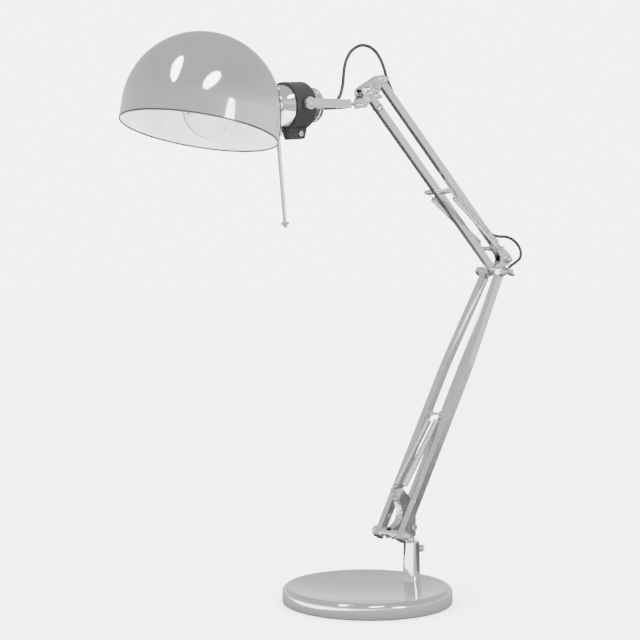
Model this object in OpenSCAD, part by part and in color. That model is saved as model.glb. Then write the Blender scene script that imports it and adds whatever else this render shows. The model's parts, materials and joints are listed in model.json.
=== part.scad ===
// Architect desk lamp, millimetres.
// Origin: middle of the underside of the base. +Z up. The arm lies in the XZ plane
// with the head towards -X, and every arm pivot turns about an axis along Y.

/* [Base] */
// Diameter of the round base
base_d = 150; // [130:1:180]
// Height of the rim of the base
base_h = 14.2; // [14:0.1:20]
// Wall of the pressed base cover
cover_wall = 1.2; // [0.8:0.1:1.6]
// Radius of the rounded shoulder of the base
shoulder_r = 5; // [3:0.5:6]
// Depth of the dished top of the base
dish_depth = 5; // [3:0.5:5.5]
// Thickness of the soft pad under the base
pad_t = 1.5; // [1:0.1:2]
// Distance from the middle of the base to the post
post_offset = 54; // [45:1:56]

/* [Post] */
// Height of the top of the post
post_top = 47; // [42:1:60]
// Diameter of the post at its foot
post_foot_d = 16.2; // [14:0.1:18]
// Diameter of the post at its top
post_top_d = 14.4; // [12:0.1:16]
// Diameter of the swivel pin
pin_d = 5.6; // [4.8:0.1:5.8]
// Height of the locking screw in the post
screw_z = 39; // [34:0.5:40]
// Diameter of the head of the locking screw
screw_head_d = 6.8; // [6:0.1:9]

/* [Brackets] */
// Outside width of the folded brackets, over bars of the width given next
bracket_w = 8.4; // [8:0.1:9]
// Bar width that the brackets' width is given for
bracket_bar_w = 5; // [4.6:0.1:5.2]
// Sheet thickness of the folded brackets
bracket_t = 1.2; // [1:0.1:1.4]
// Offset between the two pivots of a bracket, horizontally
link_dx = 15.5; // [15:0.1:16]
// Offset between the two pivots of a bracket, vertically
link_dz = 11.5; // [11:0.1:12]
// Diameter of the pivot bolts and rivets
bolt_d = 4; // [3.6:0.1:4.2]
// Radial running clearance of the pivots
fit = 0.06; // [0.03:0.01:0.09]

/* [Lower arm] */
// Length of the lower arm between its pivots
lower_len = 270; // [220:1:320]
// Lean of the lower arm from upright, in degrees
lower_lean = 29.4; // [20:0.1:34]
// Distance from the middle of the base to the lowest pivot
first_pivot_x = 29; // [28:0.5:30]
// Height of the lowest pivot
first_pivot_z = 57; // [56.5:0.5:60]
// Width of a rail of the lower arm
rail_w = 6.5; // [6:0.1:7]
// Depth of a rail of the lower arm
rail_d = 7; // [6.5:0.1:7.5]
// Distance from the middle plane to a rail at the bottom
rail_y_low = 14.5; // [13:0.1:16]
// Distance from the middle plane to a rail at the elbow
rail_y_top = 9.2; // [9.1:0.1:10]
// Distance up the lower arm at which the rails start to close in
rail_bend = 170; // [150:1:200]
// Distance up the lower arm to its spring pin
lower_pin_at = 118; // [100:1:140]

/* [Upper arm] */
// Length of the upper arm between its pivots
upper_len = 225; // [190:1:260]
// Rise of the upper arm from level, in degrees
upper_rise = 43.7; // [35:0.1:50]
// Width of the narrow bars
bar_w = 5; // [4.6:0.1:5.2]
// Depth of the narrow bars
bar_d = 7.2; // [6.8:0.1:7.4]
// Wall of the rails and bars
bar_wall = 0.9; // [0.8:0.05:1]
// Distance up the upper arm to its spring pin
upper_pin_at = 103.5; // [90:0.5:120]

/* [Springs] */
// Outside diameter of the lower springs
lower_spring_d = 6; // [5:0.1:6.6]
// Outside diameter of the upper springs
upper_spring_d = 6.5; // [5:0.1:7]
// Wire of the springs
spring_wire = 1; // [0.8:0.1:1.2]

/* [Head] */
// Droop of the head rod and lamp holder from level, in degrees
head_droop = 6; // [0:0.5:15]
// Distance from the yoke pivot to the head end of the upper arm, along the rod
rod_reach = 85.8; // [80:0.5:95]
// Height of the head end of the upper arm above the rod
rod_drop = 10; // [9.5:0.5:12]
// Diameter of the head rod
rod_d = 3.2; // [2.8:0.1:4]
// Height of the yoke bar
yoke_h = 7.6; // [6:0.1:8]
// Thickness of the yoke bar
yoke_t = 1.6; // [1.2:0.1:2]
// Diameter of the lamp holder sleeve
sleeve_d = 34.6; // [33:0.1:38]
// Wall of the lamp holder sleeve
sleeve_wall = 1; // [0.8:0.1:1.2]
// Width of the clamp ring along the holder
clamp_w = 20; // [16:0.1:21]
// Wall of the clamp ring
clamp_wall = 2.6; // [2:0.1:3]
// Length of the handle rod below the sleeve
handle_len = 78.5; // [60:0.5:90]
// Diameter of the handle rod
handle_d = 3.4; // [2.5:0.1:4]

/* [Shade] */
// Outside radius of the shade
shade_r = 63.8; // [60:0.1:68]
// Wall of the shade
shade_wall = 0.9; // [0.7:0.1:1.2]
// Straight skirt below the round dome
skirt = 15.8; // [12:0.1:24]
// Angle between the dome's axis and the lamp holder's square, in degrees
shade_cant = 16.5; // [8:0.1:20]
// Distance from the yoke pivot to the middle of the dome
dome_reach = 93.5; // [93:0.1:104]
// Distance of the middle of the dome below the middle line of the lamp holder
dome_drop = 3.3; // [0:0.1:4]
// Radius of the globe of the bulb
bulb_r = 25; // [20:0.5:28]

/* [Lead] */
// Diameter of the lead
lead_d = 3; // [2.2:0.1:3]

/* [Hidden] */
$fn = 64;
gap = 0.3;            // clear space between neighbouring pieces
seat = 0.05;          // clear space between pieces that rest on each other
nut_t = 3.2;          // height of a plain nut
nut_r = 3.9;          // corner radius of a plain nut
washer_t = 0.9;
clear_r = bolt_d / 2 + fit;
rivet_r = 1.5;
pin_r = 1.6;          // plain pins at the rear pivots
tip_r = 3.1;          // rounded tip of the front bar at the elbow

base_r = base_d / 2;
rim_r = base_r - shoulder_r;
dish_r = (rim_r * rim_r + dish_depth * dish_depth) / (2 * dish_depth);
dish_z = base_h - dish_depth + dish_r;
weight_top = base_h - dish_depth - cover_wall - 0.2;
weight_r = base_r - cover_wall - gap;
post_bolt_d = 6;
pin_foot = screw_z - 20;

function dir_lower() = [sin(lower_lean), 0, cos(lower_lean)];
function dir_upper() = [-cos(upper_rise), 0, sin(upper_rise)];

P1 = [first_pivot_x, 0, first_pivot_z];       // lower arm on the base bracket
LINK = [link_dx, 0, link_dz];
P2 = P1 + LINK;                               // rear link on the base bracket
E1 = P1 + lower_len * dir_lower();            // elbow
E2 = E1 + LINK;
H1 = E1 + upper_len * dir_upper();            // head bracket
H2 = H1 + LINK;
plate_y = (bracket_w + bar_w - bracket_bar_w) / 2; // outside face of a bracket plate
inner_y = plate_y - bracket_t;                // inside face of a bracket plate
link_mid = (bar_w / 2 + inner_y) / 2;         // middle of the washer beside a bar
link_washer_t = inner_y - bar_w / 2 - 2 * seat;
bracket_foot = P1[2] - 5;                     // underside of the base bracket
pin_top = P1[2] + 13;
rivet_at = [post_offset, 0, P1[2] + 3];       // rivet through the swivel pin
rail_out = rail_y_low + rail_w / 2;           // outer face of a rail at the bottom
elbow_out = rail_y_top + rail_w / 2;          // outer face of a rail at the elbow
tongue_y = bar_w / 2 - bar_wall - 0.1;        // half width of the rear bar's tongue
tongue_len = 5.6;
plug_at = 18;                                 // plug screw, back from the head end
strap_in = plate_y + 0.35;                    // inner face of the rod strap's cheeks
strap_out = strap_in + bracket_t;

// The yoke pivot, found back from the head end of the upper arm.
Y1 = H1 + [-rod_reach * cos(head_droop) + rod_drop * sin(head_droop), 0,
           -rod_reach * sin(head_droop) - rod_drop * cos(head_droop)];

// Lamp holder, in the head frame: x along the holder towards the arm, yoke pivot at 0.
strap_web_x = rod_reach - 9.8;                // arm side of the strap's web
clamp_r = sleeve_d / 2 + clamp_wall;
boss_y = clamp_r + 1.4;                       // outer face of the clamp ring's bosses
arm_y = boss_y + seat + washer_t + seat;      // inner face of the yoke arms
cap_d = sleeve_d - 5;
sleeve_end = clamp_w / 2 + 1.6;
lug_drop = clamp_r + 8.2;                     // foot of the clamp ring's lug
clamp_screw_at = [2.2, 0, -clamp_r - 3.8];
neck_r = 13.6;                                // threaded neck through the shade
ring_r = 16.5;                                // ring that holds the shade on
ring_back = shade_r + 0.15                    // clear of the inside of the dome
    - sqrt(pow(shade_r - shade_wall, 2) - pow(ring_r + dome_drop, 2));
shade_face = -dome_reach + shade_r;           // back of the shade on the holder's line
socket_in = shade_face - 18.9;                // mouth of the socket
bulb_mid = shade_face - 52.2;
yoke_back = 60.8;                             // far face of the yoke's cross piece
yoke_front = 53.8;
yoke_flare = 25.5;                            // where the arms bend to run parallel
crotch_y = 5;
handle_x = -17.9;

// Where the springs hook on, in the arm plane.
lower_hook = [P1[0] + 7.4, 0, P1[2] + 37.2];
upper_hook = [E1[0] - 1.2, 0, E1[2] + 21.6];
lower_pin_set = -2.1;                         // spring pin ahead of the rail's middle
upper_pin_set = 1;                            // spring pin behind the bar's middle
lower_pin = P1 + lower_pin_at * dir_lower()
    + lower_pin_set * [cos(lower_lean), 0, -sin(lower_lean)];
upper_pin = E1 + upper_pin_at * dir_upper()
    + upper_pin_set * [sin(upper_rise), 0, cos(upper_rise)];
spring_pin_d = 2.6;
lower_spring_y = plate_y + 0.9;
upper_spring_y = [14.2, 10.7];                // at the arm's pin, at the bracket's stud

// Folded front edges of the brackets, as control points of a curve.
base_web = [[P1[0] + 2, P1[2] + 39], [P1[0] + 9, P1[2] + 21], [P1[0] + 16.5, P1[2] + 11],
    [P1[0] - 3, P1[2] + 4]];
elbow_web = [[E1[0] - 2.5, E1[2] + 21.8], [E1[0] + 6.5, E1[2] + 16.3],
    [E1[0] + 10.5, E1[2] + 8.8], [E1[0] + 0.5, E1[2] + 6.3]];
head_edge = [[H1[0] - 10.1, H1[2] + 2.4], [H2[0] - 3.4, H2[2] + 4.1]];

// The lead's two loops as points along their middle line. Inside the bars they are
// given behind the bar's middle line and up the bar; the rest is set out by hand.
function in_upper(p, q) = E2 + q * dir_upper() + p * [sin(upper_rise), 0, cos(upper_rise)];
function in_lower(p, q) = P2 + q * dir_lower() + p * [cos(lower_lean), 0, -sin(lower_lean)];
function in_head(x, z) = Y1 + x * [cos(head_droop), 0, sin(head_droop)]
    + z * [-sin(head_droop), 0, cos(head_droop)];
head_route = concat([for (p = [[20, 0], [28, 0], [35, 0.2], [41.5, 1]]) in_head(p[0], p[1])],
    [for (p = [[-51.8, -22.8], [-47, -17.8], [-44.2, -10.5], [-42.9, -3], [-41.9, 5.5],
        [-39.4, 14], [-33, 22.8], [-22.4, 28.4], [-10.8, 27.8], [-1.6, 21.6], [4.4, 12.4], [8, 3.6]])
        H2 + [p[0], 0, p[1]]],
    [for (p = [[5.6, upper_len - 12], [3.2, upper_len - 20], [2.1, upper_len - 29],
        [1.9, upper_len - 40], [1.9, upper_len - 70], [1.9, upper_len - 100], [1.9, 95],
        [1.9, 66]]) in_upper(p[0], p[1])]);
elbow_route = concat([for (p = [[1.9, 65.6], [1.9, 56], [2, 46]]) in_upper(p[0], p[1])],
    [for (p = [[-24.6, 27.2], [-17.2, 23.2], [-8, 21.6], [1.2, 21.6], [10.2, 19.6], [18.2, 15],
        [23, 8.4], [22.6, 2], [17, -2.2], [9.2, -6.2]]) E2 + [p[0], 0, p[1]]],
    [for (p = [[7.6, lower_len - 9.5], [4.2, lower_len - 18], [2.3, lower_len - 27],
        [1.9, lower_len - 38], [1.9, lower_len - 80], [1.9, lower_len / 2],
        [1.9, 80], [1.9, 30]]) in_lower(p[0], p[1])]);

// ---------- frames and small shapes ----------

// A cylinder along Y between two values of y.
module rod_y(p, r, y0, y1) {
    translate([p[0], y0, p[2]]) rotate([-90, 0, 0]) cylinder(r = r, h = y1 - y0);
}

// A ring along Y between two values of y.
module ring_y(p, r, bore, y0, y1) {
    difference() {
        rod_y(p, r, y0, y1);
        rod_y(p, bore, y0 - 1, y1 + 1);
    }
}

// A hexagon along Y between two values of y.
module hex_y(p, r, y0, y1, turn = 0) {
    translate([p[0], y0, p[2]]) rotate([-90, turn, 0]) rotate([0, 0, turn])
        cylinder(r = r, h = y1 - y0, $fn = 6);
}

// Frame of the lower arm: z up the arm from a pivot, x to its back.
module on_lower(p) {
    translate(p) rotate([0, lower_lean, 0]) children();
}

// Frame of the upper arm: z up the arm from a pivot, x to its back.
module on_upper(p) {
    translate(p) rotate([0, upper_rise - 90, 0]) children();
}

// Frame of the head: x along the holder towards the arm, origin at the yoke pivot.
module on_head() {
    translate(Y1) rotate([0, -head_droop, 0]) children();
}

// A solid turned round the head frame's x axis from a profile of [x, r] points.
module turned_x(profile) {
    rotate([0, 90, 0]) rotate_extrude() polygon([for (p = profile) [p[1], p[0]]]);
}

// A tube along the head frame's x axis.
module tube_x(r, bore, x0, x1) {
    rotate([0, 90, 0]) difference() {
        translate([0, 0, x0]) cylinder(r = r, h = x1 - x0);
        translate([0, 0, x0 - 1]) cylinder(r = bore, h = x1 - x0 + 2);
    }
}

// A sheet in the XZ plane between two values of y.
module sheet_y(y0, y1) {
    translate([0, y1, 0]) rotate([90, 0, 0]) linear_extrude(y1 - y0) children();
}

// Point t of a cubic curve through its four control points.
function bend(c, t) = pow(1 - t, 3) * c[0] + 3 * t * pow(1 - t, 2) * c[1]
    + 3 * t * t * (1 - t) * c[2] + pow(t, 3) * c[3];
function bend_dir(c, t) = let (d = 3 * pow(1 - t, 2) * (c[1] - c[0])
    + 6 * t * (1 - t) * (c[2] - c[1]) + 3 * t * t * (c[3] - c[2])) d / norm(d);
function bend_points(c, t0, t1, n, off = 0) = [for (i = [0:n])
    let (t = t0 + (t1 - t0) * i / n, d = bend_dir(c, t)) bend(c, t) + off * [-d[1], d[0]]];
function backwards(list) = [for (i = [len(list) - 1:-1:0]) list[i]];

// ---------- lead ----------

function unit(v) = v / norm(v);
function route_dir(r, i) = unit(r[min(i + 1, len(r) - 1)] - r[max(i - 1, 0)]);

// One closed tube along points that lie in the arm plane, eight-sided.
module tube_along(route, d) {
    sides = 8;
    last = len(route) - 1;
    ring_points = [for (i = [0:last]) for (k = [0:sides - 1])
        let (a = 360 * (k + 0.5) / sides, t = route_dir(route, i), n = cross(t, [0, 1, 0]))
        route[i] + d / 2 * (cos(a) * [0, 1, 0] + sin(a) * n)];
    walls = [for (i = [0:last - 1]) for (k = [0:sides - 1])
        let (m = (k + 1) % sides)
        [i * sides + k, i * sides + m, (i + 1) * sides + m, (i + 1) * sides + k]];
    low_end = [[for (k = [sides - 1:-1:0]) k]];
    high_end = [[for (k = [0:sides - 1]) last * sides + k]];
    polyhedron(points = ring_points, faces = concat(walls, low_end, high_end));
}

module head_lead() {
    color("#1c1c1e") tube_along(head_route, lead_d);
}

module elbow_lead() {
    color("#1c1c1e") tube_along(elbow_route, lead_d);
}

// ---------- base ----------

// A disc with a rounded top edge, standing on z = z0.
module soft_disc(r, z0, z1, round_r) {
    translate([0, 0, z0]) rotate_extrude($fn = 180) {
        square([r, z1 - z0 - round_r]);
        square([r - round_r, z1 - z0]);
        translate([r - round_r, z1 - z0 - round_r])
            intersection() {
                circle(r = round_r);
                square(round_r);
            }
    }
}

module base_cover() {
    color("silver") difference() {
        soft_disc(base_r, pad_t / 2, base_h, shoulder_r);
        translate([0, 0, dish_z]) sphere(r = dish_r, $fn = 360);
        difference() {
            translate([0, 0, -1]) soft_disc(base_r - cover_wall, 0, base_h - cover_wall + 1,
                shoulder_r - cover_wall);
            translate([0, 0, dish_z]) sphere(r = dish_r + cover_wall, $fn = 360);
        }
        translate([post_offset, 0, 0]) cylinder(r = post_foot_d / 2 + seat, h = base_h + 2);
    }
}

module base_weight() {
    color("dimgray") difference() {
        translate([0, 0, pad_t + seat]) cylinder(r = weight_r, h = weight_top - pad_t - seat);
        translate([post_offset, 0, 0]) cylinder(r = post_bolt_d / 2 + gap, h = base_h);
        translate([post_offset, 0, 0]) cylinder(r = post_bolt_d + gap, h = pad_t + 4.3);
    }
}

module base_pad() {
    color("#2b2b2b") difference() {
        cylinder(r = weight_r, h = pad_t);
        translate([post_offset, 0, -1]) cylinder(r = post_bolt_d + gap, h = pad_t + 2);
    }
}

// ---------- post ----------

module post() {
    foot = weight_top + seat;
    chamfer = 0.6;
    color("silver") translate([post_offset, 0, 0]) difference() {
        union() {
            translate([0, 0, foot])
                cylinder(r1 = post_foot_d / 2, r2 = post_top_d / 2, h = post_top - chamfer - foot);
            translate([0, 0, post_top - chamfer])
                cylinder(r1 = post_top_d / 2, r2 = post_top_d / 2 - chamfer, h = chamfer);
        }
        translate([0, 0, pin_foot - 1]) cylinder(r = pin_d / 2 + fit, h = post_top);
        translate([0, 0, foot - 1]) cylinder(r = post_bolt_d / 2 + seat, h = 9);
        translate([0, 0, screw_z]) rotate([0, 90, 0])
            cylinder(r = bolt_d / 2 + fit, h = post_foot_d);
    }
}

module post_bolt() {
    color("gray") translate([post_offset, 0, 0]) {
        translate([0, 0, pad_t]) cylinder(r = post_bolt_d, h = 4, $fn = 6);
        translate([0, 0, pad_t + 3.9]) cylinder(r = post_bolt_d / 2, h = weight_top + 2);
    }
}

// Slotted screw that locks the swivel pin, pointing away from the head.
module post_screw() {
    neck = pin_d / 2 - 0.4;
    head_x = post_foot_d / 2 + 1;
    head_len = 5.4;
    slot_w = 1.6;
    color("silver") translate([post_offset, 0, screw_z]) rotate([0, 90, 0]) difference() {
        union() {
            translate([0, 0, neck + seat]) cylinder(r = bolt_d / 2, h = head_x - neck);
            translate([0, 0, head_x]) cylinder(r = screw_head_d / 2, h = head_len - 1);
            translate([0, 0, head_x + head_len - 1])
                cylinder(r1 = screw_head_d / 2, r2 = screw_head_d / 2 - 1, h = 1);
        }
        translate([-slot_w / 2, -screw_head_d, head_x + head_len - 2.6])
            cube([slot_w, 2 * screw_head_d, 4]);
    }
}

module swivel_pin() {
    top = pin_top;
    groove_r = pin_d / 2 - 0.4;
    color("silver") difference() {
        translate([post_offset, 0, 0]) rotate_extrude() polygon([[0, pin_foot],
            [pin_d / 2, pin_foot], [pin_d / 2, screw_z - 3], [groove_r, screw_z - 2.6],
            [groove_r, screw_z + 2.6], [pin_d / 2, screw_z + 3], [pin_d / 2, top - 0.6],
            [pin_d / 2 - 0.6, top], [0, top]]);
        rod_y(rivet_at, rivet_r + fit, -pin_d, pin_d);
    }
}

// ---------- base bracket ----------

module base_plate_outline() {
    difference() {
        union() {
            polygon(concat(bend_points(base_web, 0, 1, 24), [
                [P1[0] - 4.4, P1[2] + 2.4], [P1[0] - 2, bracket_foot],
                [post_offset + 1.5, bracket_foot], [post_offset + 1.5, P1[2] + 17],
                [P1[0] + 18.5, P1[2] + 31.5], [P1[0] + 9.5, P1[2] + 40.2]]));
            translate([P1[0], P1[2]]) circle(r = 5);
        }
        translate([P1[0], P1[2]]) circle(r = clear_r);
        translate([P2[0], P2[2]]) circle(r = rivet_r + fit);
        translate([rivet_at[0], rivet_at[2]]) circle(r = rivet_r + fit);
        translate([lower_hook[0], lower_hook[2]]) circle(r = spring_wire);
    }
}

module base_bracket() {
    color("silver") {
        for (y = [-plate_y, inner_y]) sheet_y(y, y + bracket_t) base_plate_outline();
        sheet_y(-plate_y, plate_y) polygon(concat(bend_points(base_web, 0, 0.93, 24),
            backwards(bend_points(base_web, 0, 0.93, 24, bracket_t))));
    }
}

// One rivet joins the swivel pin to the plates and one carries the rear link.
module bracket_rivets() {
    color("gainsboro") for (p = [P2, rivet_at]) {
        rod_y(p, rivet_r, -plate_y - seat, plate_y + seat);
        for (s = [-1, 1]) rod_y(p, rivet_r + 1.1, s > 0 ? plate_y + seat : -plate_y - seat - 0.9,
            s > 0 ? plate_y + seat + 0.9 : -plate_y - seat);
    }
}

module lower_pivot_bolt() {
    color("gainsboro") {
        rod_y(P1, bolt_d / 2, -rail_out - nut_t - 4, rail_out + 1);
        rod_y(P1, 4.4, rail_out + seat, rail_out + 3.6);
    }
}

module lower_pivot_nut() {
    color("gainsboro") difference() {
        hex_y(P1, nut_r, -rail_out - seat - nut_t, -rail_out - seat, 10);
        rod_y(P1, clear_r, -rail_out - 9, 0);
    }
}

module lower_spacers() {
    color("silver") for (s = [-1, 1])
        ring_y(P1, 3.4, clear_r, s > 0 ? plate_y + seat : -rail_y_low + rail_w / 2 + seat,
            s > 0 ? rail_y_low - rail_w / 2 - seat : -plate_y - seat);
}

// Washers on both sides of a narrow bar inside a bracket.
module bar_washers(p, r, bore) {
    for (s = [-1, 1]) ring_y(p, r, bore, s * link_mid - link_washer_t / 2,
        s * link_mid + link_washer_t / 2);
}

module link_washers_low() {
    color("gainsboro") bar_washers(P2, 3, rivet_r + fit);
}

// ---------- lower arm ----------

// Outline of a rail in its YZ plane: straight, then closing in towards the elbow.
module rail_outline(grow) {
    low = -4.6;
    top = lower_len + rail_d / 2;
    half = rail_w / 2 - grow;
    slope = (rail_y_top - rail_y_low) / (lower_len - 12 - rail_bend);
    polygon([for (s = [-1, 1]) each let (y = [[rail_y_low, low], [rail_y_low, rail_bend],
        [rail_y_low + slope * (lower_len - 12 - rail_bend), lower_len - 12], [rail_y_top, top]])
        [for (p = s < 0 ? y : backwards(y)) [p[0] + s * half, p[1]]]]);
}

// Extrudes a YZ outline along x between two values.
module deep_x(x0, x1) {
    translate([x0, 0, 0]) rotate([90, 0, 90]) linear_extrude(x1 - x0) children();
}

// A channel rail, open at its back, with its top end rounded about the elbow.
module rail() {
    on_lower(P1) difference() {
        intersection() {
            deep_x(-rail_d / 2, rail_d / 2) rail_outline(0);
            sheet_y(0, 2 * rail_out) union() {
                translate([-rail_d / 2, -10]) square([rail_d, lower_len + 10]);
                translate([0, lower_len]) circle(r = rail_d / 2);
            }
        }
        deep_x(-rail_d / 2 + bar_wall, rail_d / 2 + 1) intersection() {
            rail_outline(bar_wall);
            translate([0, -3.2]) square([2 * rail_out, lower_len + 3.2 + rail_d]);
        }
        rod_y([0, 0, 0], clear_r, 0, 2 * rail_out);
        rod_y([0, 0, lower_len], clear_r, 0, 2 * rail_out);
        rod_y([lower_pin_set, 0, lower_pin_at], spring_pin_d / 2 - 0.3 + fit, 0, 2 * rail_out);
    }
}

module rail_far() {
    color("silver") rail();
}

module rail_near() {
    color("silver") mirror([0, 1, 0]) rail();
}

// Black plugs that close the foot of each rail.
module rail_plugs() {
    color("#1a1a1a") for (s = [-1, 1]) on_lower(P1)
        translate([-rail_d / 2 - 0.1, s * rail_y_low - rail_w / 2 - 0.1, -6.2])
            cube([rail_d + 0.2, rail_w + 0.2, 1.6 - seat]);
}

module lower_cross_pin() {
    color("gainsboro") on_lower(P1) {
        y = rail_y_low - rail_w / 2 - seat;
        rod_y([lower_pin_set, 0, lower_pin_at], spring_pin_d / 2, -y, y);
        rod_y([lower_pin_set, 0, lower_pin_at], spring_pin_d / 2 - 0.3, -rail_out, rail_out);
    }
}

// A spring as a plain rod with thinner ends, from the bracket to the pin on the arm,
// where its end loops round the pin.
module spring_solid(hook, pin, y0, y1, d, lead_a, lead_b, start) {
    a = hook + [0, y0, 0];
    b = pin + [0, y1, 0];
    v = b - a;
    h = norm(v);
    wire_r = spring_wire / 2 + 0.1;
    translate(a) rotate([0, acos(v[2] / h), atan2(v[1], v[0])]) {
        translate([0, 0, lead_a]) cylinder(r = d / 2, h = h - lead_a - lead_b);
        translate([0, 0, start]) cylinder(r = wire_r, h = h - start - spring_pin_d / 2 - 0.2);
    }
    ring_y(pin, spring_pin_d / 2 + 1.1, spring_pin_d / 2 + seat, y1 - wire_r, y1 + wire_r);
}

// The lower springs end in a hook through the bracket plate.
module lower_spring() {
    spring_solid(lower_hook, lower_pin, lower_spring_y, lower_spring_y, lower_spring_d, 6, 7, 0);
    rod_y(lower_hook, spring_wire / 2 + 0.1, inner_y - 0.8, lower_spring_y);
}

module lower_spring_far() {
    color("lightgray") lower_spring();
}

module lower_spring_near() {
    color("lightgray") mirror([0, 1, 0]) lower_spring();
}

// A narrow channel bar, open at its back, with both ends rounded.
module channel_bar(len, low_r, bore_low, bore_top) {
    difference() {
        sheet_y(-bar_w / 2, bar_w / 2) union() {
            translate([-bar_d / 2, 0]) square([bar_d, len]);
            circle(r = low_r);
            translate([0, len]) circle(r = bar_d / 2);
        }
        translate([-bar_d / 2 + bar_wall, -bar_w / 2 + bar_wall, -bar_d])
            cube([bar_d, bar_w - 2 * bar_wall, len + 2 * bar_d]);
        rod_y([0, 0, 0], bore_low, -bar_w, bar_w);
        rod_y([0, 0, len], bore_top, -bar_w, bar_w);
    }
}

// The link's front web stops short of the elbow to let the rear bar's tongue swing.
module rear_link() {
    color("silver") on_lower(P2) difference() {
        channel_bar(lower_len, bar_d / 2, rivet_r + fit, pin_r + fit);
        translate([-bar_d, -bar_w / 2 + bar_wall, lower_len - 6])
            cube([2 * bar_d, bar_w - 2 * bar_wall, 20]);
    }
}

// ---------- elbow ----------

module elbow_plate_outline() {
    difference() {
        union() {
            polygon(concat(bend_points(elbow_web, 0, 1, 24), [[E1[0] - 3.4, E1[2] + 2.8],
                [E1[0] + 4.5, E1[2] - 1.7], [E2[0] - 1, E2[2] - 7.2], [E2[0] + 4.5, E2[2] - 2.7],
                [E2[0] + 4, E2[2] + 4.3], [E2[0] - 6, E2[2] + 11.3]]));
            translate([E1[0], E1[2]]) circle(r = 4.8);
            translate([E2[0], E2[2]]) circle(r = 5.4);
            translate([upper_hook[0], upper_hook[2]]) circle(r = 2.6);
        }
        translate([E1[0], E1[2]]) circle(r = clear_r);
        translate([E2[0], E2[2]]) circle(r = pin_r + fit);
        translate([upper_hook[0], upper_hook[2]]) circle(r = 1.2 + seat);
    }
}

// Two plates joined by a short web between the bars and a tab behind the rear pivot.
module elbow_bracket() {
    web_from = 0.76;
    web_to = 0.93;
    tab_r = 5.4;
    color("silver") {
        for (y = [-plate_y, inner_y]) sheet_y(y, y + bracket_t) elbow_plate_outline();
        sheet_y(-plate_y, plate_y) polygon(concat(bend_points(elbow_web, web_from, web_to, 6),
            backwards(bend_points(elbow_web, web_from, web_to, 6, bracket_t))));
        sheet_y(-plate_y, plate_y) translate([E2[0], E2[2]]) intersection() {
            difference() {
                circle(r = tab_r);
                circle(r = tab_r - bracket_t);
            }
            polygon([[0, 0], [20, -6], [20, 20]]);
        }
    }
}

// Studs that carry the upper springs outside the bracket's plates.
module elbow_studs() {
    end_y = 13.4;
    color("gainsboro") for (s = [-1, 1]) {
        rod_y(upper_hook, 1.2, s > 0 ? inner_y : -end_y, s > 0 ? end_y : -inner_y);
        rod_y(upper_hook, 2, s > 0 ? plate_y + seat : -upper_spring_y[1] + 1,
            s > 0 ? upper_spring_y[1] - 1 : -plate_y - seat);
        rod_y(upper_hook, 2, s > 0 ? end_y - 1.2 : -end_y, s > 0 ? end_y : 1.2 - end_y);
    }
}

module elbow_bolt() {
    color("gainsboro") {
        rod_y(E1, bolt_d / 2, -elbow_out - 11.5, elbow_out + 1);
        rod_y(E1, 3.4, elbow_out + seat, elbow_out + 1.6);
        hex_y(E1, 5, elbow_out + 1.5, elbow_out + 7, 0);
    }
}

module elbow_spacers() {
    inner = rail_y_top - rail_w / 2 - seat;
    color("gainsboro") {
        for (s = [-1, 1]) ring_y(E1, 3.6, clear_r, s > 0 ? plate_y + seat : -inner,
            s > 0 ? inner : -plate_y - seat);
        bar_washers(E1, 3.4, clear_r);
        bar_washers(E2, 3.2, pin_r + fit);
    }
}

// A plain pin with a round head on the far side.
module rear_pin(p) {
    rod_y(p, pin_r, -plate_y - 4, plate_y + 0.5);
    rod_y(p, 3, plate_y + seat, plate_y + 1.6);
}

// A low nut with a domed cap.
module dome_nut(p) {
    difference() {
        union() {
            rod_y(p, 3.9, -plate_y - 0.8, -plate_y - seat);
            hex_y(p, 3.4, -plate_y - 3.2, -plate_y - 0.7, 20);
            intersection() {
                translate([p[0], -plate_y - 3.1, p[2]]) sphere(r = 2.6);
                rod_y(p, 3, -plate_y - 9, -plate_y - 3);
            }
        }
        rod_y(p, pin_r + fit, -plate_y - 4.2, 0);
    }
}

module elbow_rear_pin() {
    color("gainsboro") rear_pin(E2);
}

module elbow_rear_nut() {
    color("gainsboro") dome_nut(E2);
}

// A wing nut on the near side, its face at y, with its wings turned by an angle.
module wing_nut(p, y, turn) {
    wing_t = 1.7;
    difference() {
        union() {
            rod_y(p, 3.6, y - 5.5, y);
            rod_y(p, 4.4, y - 1.6, y);
            for (s = [0, 180]) translate([p[0], y, p[2]]) rotate([0, turn + s, 0])
                translate([0, 0, -wing_t / 2]) linear_extrude(wing_t) polygon([[2, -0.6],
                    [4.4, -1.6], [7.2, -5], [7.6, -8.6], [6.2, -10], [4.2, -9.2], [2, -5.4]]);
        }
        rod_y(p, clear_r, y - 12, y + 1);
    }
}

module elbow_wing_nut() {
    color("gainsboro") wing_nut(E1, -elbow_out - seat, 35);
}

// ---------- upper arm ----------

module upper_front_bar() {
    color("silver") on_upper(E1) difference() {
        channel_bar(upper_len, tip_r, clear_r, clear_r);
        rod_y([upper_pin_set, 0, upper_pin_at], spring_pin_d / 2 + fit, -bar_w, bar_w);
        rod_y([0, 0, upper_len - plug_at], rivet_r + fit, -bar_w, bar_w);
    }
}

// Black plug inside the head end of the front bar.
module front_bar_plug() {
    w = bar_w - 2 * bar_wall - 2 * seat;
    color("#1a1a1a") on_upper(E1) difference() {
        translate([-bar_d / 2 + bar_wall + seat, -w / 2, upper_len - plug_at - 6])
            cube([bar_d - bar_wall + 0.6, w, 16 - bar_d / 2]);
        rod_y([0, 0, upper_len - plug_at], rivet_r + fit, -bar_w, bar_w);
    }
}

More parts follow.
